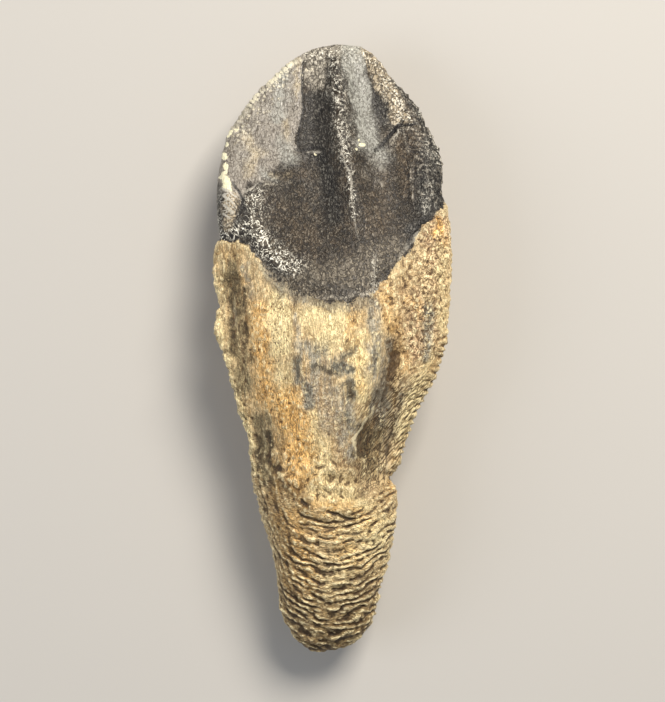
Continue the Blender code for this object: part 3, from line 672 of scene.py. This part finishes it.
def stain_marks(tooth):
    """How strongly each stain shows at each point, kept to its own side of the chip's and facet's edges."""
    marks = {name: stain(tooth, name) for name in STAINS}
    past_chip_edge = step(-0.12, 0.12, tooth.x - line(CHIP_EDGE, tooth.station))
    past_facet_edge = step(-0.12, 0.12, tooth.x - line(FACET_EDGE, tooth.station))
    marks["chip"] *= np.maximum(past_chip_edge, tooth.x < 0)
    marks["cool"] *= 1 - past_chip_edge * step(9.0, 8.4, tooth.station)
    marks["channel"] *= past_facet_edge
    below_facet = tooth.station + 2.0 * tooth.warp[0] - line(FACET_END, tooth.x)
    marks["facet"] = (1 - past_facet_edge) * step(0.7, -1.0, below_facet) * tooth.face
    fan = stretch(tooth.station, (31, 34), RIGHT_FLANGE_END) * bell(tooth.from_right - 1.2, 2.2)
    marks["hollow"] = np.maximum(marks["hollow"], 0.7 * fan * tooth.face)
    return marks


def keep_marks(mesh, tooth, enamel, cut):
    """Keeps on the mesh, by name, the numbers that the material reads at each point."""
    left = tooth.face * (tooth.x < 0) * step(1.0, 1.8, tooth.station)
    marks = {
        "enamel": enamel,
        "face": tooth.face,
        "crest": tooth.standing_out(CREST_ROUNDS) - 0.5 * cut,
        "fuzzy": stretch(tooth.x, (-7.4, -5.6), (3.2, 4.8)),
        "station": tooth.station,
        "ringed": tooth.ringed,
        "rings": ring_waves(tooth),
        "rim": tooth.rim,
        "along rim": tooth.along_rim,
        "toothed": left * line(DENTICLES, tooth.station),
        "beaded": left * step(12.0, 8.0, tooth.station) * bell(tooth.rim - 1.2, 1.1),
    }
    for name, lines in (("cut", CUTS), ("ridge", CRESTS)):
        offset, half_width, tone = nearest_line(lines, tooth.x, tooth.station)
        marks |= {name + " offset": offset, name + " width": half_width, name + " tone": tone * tooth.face}
    for name, values in (marks | stain_marks(tooth)).items():
        mesh.attributes.new(name, "FLOAT", "POINT").data.foreach_set("value", values.astype(np.float32))


def tooth_surface():
    """The visible surface of the tooth, in place of the solid."""
    piece = subdivided(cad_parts["tooth"])
    mesh = piece.data
    tooth = Tooth(mesh)
    tooth.points = calmed(tooth)
    tooth.write(mesh)
    enamel = enamel_depth(tooth)
    cut = tooth.face * line_relief(CUTS, tooth.x, tooth.station)
    moved = tooth.points + tooth.normals * (whole_relief(tooth, enamel) - cut)[:, None]
    tooth.points = np.clip(moved, *(np.array(corner) / MM for corner in CAD_BOX))
    tooth.write(mesh)
    keep_marks(mesh, tooth, enamel, cut)
    mesh.shade_smooth()
    mesh.materials.clear()
    mesh.materials.append(fossil_material())
    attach(piece, "root")
    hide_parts("tooth")


# Material


class Value:
    """A number or colour that varies over the surface: a node's output. A sum written with it adds the nodes
    that work it out.
    """

    def __init__(self, output):
        self.output = output

    def after(self, operation, *others):
        """This number after an operation on it, or on it and others."""
        inputs = dict(enumerate((self, *others)))
        return add(self.output.id_data, "Math", {"operation": operation}, inputs)

    def __add__(self, other):
        return self.after("ADD", other)

    def __sub__(self, other):
        return self.after("SUBTRACT", other)

    def __rsub__(self, other):
        return self * -1.0 + other

    def __mul__(self, other):
        return self.after("MULTIPLY", other)

    __rmul__ = __mul__

    def __truediv__(self, other):
        return self.after("DIVIDE", other)

    def __rpow__(self, base):
        return (self * math.log(base)).after("EXPONENT")

    def __abs__(self):
        return self.after("ABSOLUTE")

    def faded(self, low, high, first=0.0, last=1.0):
        """Goes smoothly from first, where this number is low, to last, where it is high."""
        inputs = {0: self, 1: low, 2: high, 3: first, 4: last}
        return add(self.output.id_data, "MapRange", {"interpolation_type": "SMOOTHSTEP"}, inputs)


def add(tree, kind, settings, inputs, output=0):
    """Adds a node with its settings, its inputs as numbers, hex colours or values, and returns an output."""
    node = tree.nodes.new("ShaderNode" + kind)
    for name, setting in settings.items():
        setattr(node, name, setting)
    for name, given in inputs.items():
        if isinstance(given, Value):
            tree.links.new(given.output, node.inputs[name])
        else:
            node.inputs[name].default_value = linear(given) if isinstance(given, str) else given
    return Value(node.outputs[output])


class Skin:
    """The patterns, masks and zones that the layers of the tooth's material share.

    The crystal bundles of real enamel and the fibres of real cementum are about a hundredth of a millimetre
    wide, too fine to show, so coarser threads are drawn in their place, 0.2 to 0.35 mm apart.
    """

    def __init__(self, tree):
        self.tree = tree
        self.place = add(tree, "TexCoord", {}, {}, "Object")
        self.fine = self.noise(0.2, (1, 1, 1), 1.0, 1.0)
        self.strands = self.noise(0.42, (1, 1.2, 1), 2.0, 2.2)
        self.mottle = self.noise(1.1, (1, 1.6, 1), 4.0)
        self.streak = self.noise(0.5, (1, 9, 1), 4.0)
        self.cloud = self.noise(3.4, (1, 1.8, 1), 3.0)
        self.uneven = self.strands + self.mottle
        self.pale_threads = self.threads(0.32, (1, 1.2, 1), 0.5)
        self.dark_threads = self.threads(0.34, (1, 1.4, 1), 0.6, 12)
        self.crest = self.mask("crest")
        self.fuzzy = self.mask("fuzzy")
        self.inside_enamel = self.uneven * (1.2 * self.fuzzy + 0.6) + self.mask("enamel")
        self.on_crown = (self.inside_enamel / (0.2 * self.fuzzy + 0.08)).faded(-1.0, 1.0)
        self.rough_crown = self.mask("speckle") * self.on_crown
        # Where the crown is pale from wear and painted sheen: the left facet and the grey strip right of the
        # median ridge.
        self.worn_and_sheened = self.mask("facet").after("MAXIMUM", self.mask("cool")) * self.on_crown
        self.calm_rings = 1.0 - 0.2 * self.mask("ringed")

    def mask(self, name):
        """The numbers kept on the mesh under a name."""
        return add(self.tree, "Attribute", {"attribute_name": name}, {}, "Fac")

    def noise(self, size, longer, detail, curl=0.0, turn=0.0):
        """Noise from about -0.5 to 0.5, its features size mm across, longer along x, y and z by some factors,
        turned by some degrees and curled into strands.
        """
        inputs = {"Vector": self.place, "Angle": math.radians(turn)}
        turned = add(self.tree, "VectorRotate", {"rotation_type": "Z_AXIS"}, inputs)
        scales = [1 / MM / factor for factor in longer]
        scaled = add(self.tree, "VectorMath", {"operation": "MULTIPLY"}, {0: turned, 1: scales})
        inputs = {0: scaled, "Scale": 1 / size, "Detail": detail, "Roughness": 0.6, "Distortion": curl}
        return add(self.tree, "TexNoise", {}, inputs) - 0.5

    def threads(self, size, longer, curl, turn=0.0):
        """Thin curled lines, 1 along them and 0 between them, about size mm apart."""
        return abs(self.noise(size, longer, 0.6, curl, turn)).faded(0.1, 0.02)

    def cells(self, size):
        """The distance from the nearest cell's middle, in cell widths, where cells are about size mm wide."""
        return add(self.tree, "TexVoronoi", {}, {"Vector": self.place, "Scale": 1 / MM / size}, "Distance")

    def drawn(self, lines, soft):
        """How strongly the lines kept on the mesh show: uneven at their edges, and broken where faint."""
        offset = 0.7 * self.mottle + 0.3 * self.strands + self.mask(lines + " offset")
        inside = self.mask(lines + " width") - abs(offset)
        tone = self.mask(lines + " tone")
        unbroken = (0.35 * tone + self.mottle).faded(0.0, 0.2)
        return inside.faded(-soft, soft) * unbroken * tone

    def mixed(self, cover, under, over):
        """One number over another, as much as cover says."""
        return add(self.tree, "Mix", {"data_type": "FLOAT"}, {0: cover, 2: under, 3: over})

    def laid(self, over, cover, under, blend="MIX"):
        """One colour laid over another, as much as cover says."""
        settings = {"data_type": "RGBA", "blend_type": blend}
        return add(self.tree, "Mix", settings, {0: cover, 6: under, 7: over}, 2)

    def layered(self, colour, fraying, full, layers):
        """Lays tones over a colour. Each layer is the strength of its tone, the tone, and its most, which it
        reaches where its strength, frayed by the grain, is full.
        """
        fray = fraying * self.uneven + 1.0
        for strength, tone, most in layers:
            colour = self.laid(tone, (strength * fray).faded(0.08, full, 0, most), colour)
        return colour


def enamel_colour(skin):
    """Dark brown enamel with pale facets, paler from wear and lightened as painted sheen, grey painted
    sheens, and black hollows and edges, partly painted shade.
    """
    mask = skin.mask
    beads = mask("beaded") * skin.cells(0.5).faded(0.36, 0.26)
    layers = [
        (skin.mottle.faded(-0.12, 0.2), "#41331f", 0.7),
        (mask("brown"), "#584a37", 0.8),
        (mask("base"), "#6f6656", 0.85),
        # Painted sheen, partly grey polish.
        (mask("sheen"), "#aaa394", 0.95),
        # The left facet: paler from wear, and lightened further as painted sheen.
        (mask("facet"), "#918a7f", 0.97),
        # Painted sheen.
        (mask("cool"), "#a2a39b", 0.87),
        (mask("tan"), "#bfb091", 0.8),
        (mask("chip"), "#ad9e83", 0.97),
        # Painted shade in the channel beside the median ridge.
        (mask("channel"), "#26221d", 0.9),
        # Black, partly painted shade along the edges.
        (mask("black"), "#16130f", 0.92),
        # Paler on crests and darker in hollows: painted highlight and painted shade, partly rubbing and
        # earth.
        (skin.crest.faded(0.01, 0.06), "#a39c8e", 0.5),
        (skin.crest.faded(-0.005, -0.05), "#0f0c0a", 0.75),
        (beads, "#d8d0b8", 0.9),
    ]
    return skin.layered("#2c2315", 1.8, 0.9, layers)


def cementum_colour(skin):
    """Straw-coloured cementum, stained in clouds and streaks by the earth that it lay in. Its crests are
    pale, partly from rubbing and partly painted highlight; its hollows, grooves and lower end are darker,
    partly earth and partly painted shade.
    """
    mask, streak, cloud = skin.mask, skin.streak, skin.cloud
    back = 1.0 - mask("face")
    station = mask("station")
    pits = mask("pitted") * skin.cells(0.36).faded(0.30, 0.14)
    rings = 1.6 * skin.strands + mask("rings")
    streaky = streak.faded(-0.2, 0.12, 0.6, 1.3)
    layers = [
        (streak.faded(-0.05, 0.2), "#e4cf9e", 0.75),
        (streak.faded(-0.02, -0.2), "#b5955e", 0.65),
        (cloud.faded(0.0, 0.2), "#b4955f", 0.55),
        (skin.mottle.faded(0.0, 0.25), "#a1885a", 0.6),
        (back * cloud.faded(-0.05, 0.2), "#8c6d45", 0.8),
        (back * station.faded(26.0, 12.0), "#6f5639", 0.75),
        (mask("rosy"), "#c4a883", 0.9),
        (mask("yellow"), "#f5e4af", 0.92),
        (mask("orange"), "#f6c474", 0.95),
        (mask("ochre"), "#9a7a45", 0.85),
        (mask("olive") * streaky, "#857958", 0.87),
        (mask("grey") * streaky, "#aaa697", 0.92),
        (mask("slate") * streaky, "#68685c", 0.87),
        # Painted shade, with a few small dark spots.
        (mask("shade"), "#47391f", 0.9),
        # Darker towards the root's end: partly its own tone, partly painted shade.
        (station.faded(46.0, 60.0), "#8c7449", 0.75),
        (pits, "#6a4a26", 0.85),
        # The rings' valleys dark and crests pale: painted shade and painted highlight for their relief,
        # partly earth and rubbing.
        (rings.faded(0.1, -0.9), "#422f17", 0.88),
        (rings.faded(0.3, 1.1), "#fae9b6", 0.75),
        # Darker in hollows and paler on crests: painted shade and painted highlight, partly earth and
        # rubbing.
        (skin.crest.faded(0.0, -0.06), "#5a4224", 0.8),
        (skin.crest.faded(0.0, 0.05), "#f5e6b8", 0.6),
    ]
    return skin.layered("#d8bf90", 1.3, 0.92, layers)


def root_threads(skin):
    """The root's pale and dark threads: fibres down its body, curls on its rosy part, folds along the rings,
    and slanted strands in its hollows.
    """
    rosy, ringed, hollow = (skin.mask(name) for name in ("rosy", "ringed", "hollow"))
    pale = (0.55 * skin.pale_threads).after("MAXIMUM", skin.threads(0.28, (1, 4.4, 1), 0.7, 5))
    pale = skin.mixed(rosy, pale * skin.uneven.faded(0.35, -0.15, 0.5, 1.1), skin.pale_threads)
    pale = skin.mixed(ringed, pale, skin.threads(0.3, (2.8, 1, 1), 0.7, -6))
    dark = (0.7 * skin.dark_threads).after("MAXIMUM", skin.threads(0.27, (1, 4, 1), 0.8, -8))
    dark = skin.mixed(rosy, dark * skin.uneven.faded(-0.25, 0.2, 0.3, 0.9), skin.dark_threads)
    dark = skin.mixed(ringed, dark, skin.threads(0.27, (2.6, 1, 1), 0.8, 10))
    slanted = skin.threads(0.24, (1, 6, 1), 0.4, 40)
    return skin.mixed(hollow, pale, 0.5 - slanted), skin.mixed(hollow, dark, slanted) * skin.calm_rings


def denticles(skin):
    """How strongly the denticles of the left margin show, each a pale drop."""
    turn = (skin.mask("along rim") / DENTICLE).after("FRACT") - 0.5
    across = (turn + 0.5 * skin.mottle) * DENTICLE
    inward = 0.6 * (skin.strands + skin.mask("rim") - 0.36)
    distance = (across * across + inward * inward).after("SQRT")
    return (0.5 * skin.mottle + distance).faded(0.29, 0.17) * skin.mask("toothed")


def fossil_material():
    """Mineralised tooth, apatite stained by iron. On the crown is enamel, dense and glossy from wear, with
    its broad sheens also painted into its colour as painted sheen. On the root is cementum, porous and matt,
    its ridges pale, partly from rubbing and partly painted highlight, and its hollows brown, partly earth and
    partly painted shade.
    """
    material = bpy.data.materials.new("mineralised enamel and cementum")
    material.use_nodes = True
    tree = material.node_tree
    tree.nodes.clear()
    skin = Skin(tree)
    on_crown, worn_and_sheened, rough_crown = skin.on_crown, skin.worn_and_sheened, skin.rough_crown

    # The two tissues, and a grey fringe where the enamel thins out.
    colour = skin.laid(enamel_colour(skin), on_crown, cementum_colour(skin))
    fringe = skin.inside_enamel.faded(-1.4, -0.1, 0.0, 0.85) * (1.0 - on_crown) * (0.8 * skin.fuzzy + 0.2)
    colour = skin.laid("#8a8371", fringe, colour)

    # Threads: painted glints, pale painted highlights where the enamel is rough, and dark gaps on both
    # tissues.
    hairs = skin.threads(0.2, (1, 2.4, 1), 0.7, -6)
    crown_pale = skin.mixed(rough_crown.faded(0.1, 0.5), hairs, skin.pale_threads)
    root_pale, root_dark = root_threads(skin)
    scattered = (0.12 * rough_crown + 1.6 * skin.fine + skin.uneven).faded(-0.25, 0.1)
    glints = crown_pale * on_crown * (0.8 * rough_crown + 0.1) * scattered
    colour = skin.laid("#dcdacd", glints, colour)
    gaps = skin.mixed(on_crown, 0.65 * root_dark, 0.6 * skin.dark_threads)
    colour = skin.laid(skin.laid("#6e6456", on_crown, "#a88752"), gaps, colour, "MULTIPLY")

    # Cream deposits, then the grain, which lightens and darkens what lies under it.
    deposits = (0.5 * skin.strands + skin.mask("cream")).faded(0.25, 0.42) * on_crown
    colour = skin.laid("#f0ebc8", deposits, colour)
    striae = skin.threads(0.24, (1, 9, 1), 0.3, 4)
    crown_grain = skin.mixed(worn_and_sheened.faded(0, 1, 0, 0.8), crown_pale - skin.dark_threads, striae)
    grain = skin.mixed(on_crown, root_pale - root_dark, crown_grain)
    grain = (0.5 * skin.strands + skin.fine) * on_crown.faded(0, 1, 0.5, 0.8) + grain
    vivid = skin.mask("orange").after("MAXIMUM", skin.mask("rosy"))
    root_contrast = 0.25 * vivid + 0.66 * skin.calm_rings
    contrast = skin.mixed(on_crown, root_contrast, skin.mixed(worn_and_sheened, 0.8, 0.42))
    colour = skin.laid(2.0 ** (grain * contrast), 1.0, colour, "MULTIPLY")

    # Denticles, pale ridges and dark cuts. The ridges are pale from rubbing, and in places a painted
    # highlight; the cuts hold earth and painted shade.
    colour = skin.laid("#efe9cf", 0.9 * denticles(skin), colour)
    ridge_pale = skin.laid("#cfcabc", on_crown, "#f0e4bf")
    colour = skin.laid(ridge_pale, skin.drawn("ridge", 0.05), colour)
    colour = skin.laid("#0e0a07", skin.drawn("cut", 0.03), colour)

    roughness = on_crown.faded(0, 1, 0.62, 0.5) - 0.16 * worn_and_sheened + 0.2 * skin.mottle
    bump = add(tree, "Bump", {}, {"Height": grain, "Strength": 1.0, "Distance": 0.035 * MM})
    inputs = {"Base Color": colour, "Roughness": roughness, "Normal": bump, "IOR": 1.55}
    shader = add(tree, "BsdfPrincipled", {}, inputs)
    tree.links.new(shader.output, tree.nodes.new("ShaderNodeOutputMaterial").inputs["Surface"])
    return material


# Scene


def area_light(name, direction, distance, size, watts, colour):
    """A soft square light, aimed at the middle of the tooth from a direction."""
    lamp = bpy.data.lights.new(name, "AREA")
    lamp.size = size * MM
    lamp.energy = watts
    lamp.color = linear(colour)[:3]
    light = bpy.data.objects.new(name, lamp)
    light.location = Vector(direction).normalized() * distance * MM
    light.rotation_euler = light.location.to_track_quat("Z", "Y").to_euler()
    bpy.context.scene.collection.objects.link(light)


def studio():
    """A plain pale floor, soft light, and a camera that looks straight down."""
    scene = bpy.context.scene
    bpy.ops.mesh.primitive_plane_add(size=FLOOR_SIDE * MM)
    floor = bpy.context.object
    floor.name = "floor"

    # Matt paper scatters the light, and shows no shine.
    paper = bpy.data.materials.new("matt paper")
    paper.use_nodes = True
    shader = paper.node_tree.nodes["Principled BSDF"]
    shader.inputs["Base Color"].default_value = linear("#cfcdc8")
    shader.inputs["Roughness"].default_value = 0.9
    floor.data.materials.append(paper)

    scene.world = bpy.data.worlds.new("studio")
    scene.world.use_nodes = True
    background = scene.world.node_tree.nodes["Background"]
    background.inputs["Color"].default_value = linear("#dfe3e8")
    background.inputs["Strength"].default_value = 0.3
    area_light("key", (0.30, 0.56, 0.76), 360, 150, 1.45, "#fff6ea")
    area_light("fill", (-0.75, -0.1, 0.6), 500, 300, 0.6, "#f4f4fa")
    scene.view_settings.view_transform = "Standard"

    camera = bpy.data.objects.new("camera", bpy.data.cameras.new("camera"))
    camera.data.lens = CAMERA_LENS
    camera.location = Vector(CAMERA_PLACE) * MM
    scene.collection.objects.link(camera)
    scene.camera = camera


tooth_surface()
studio()
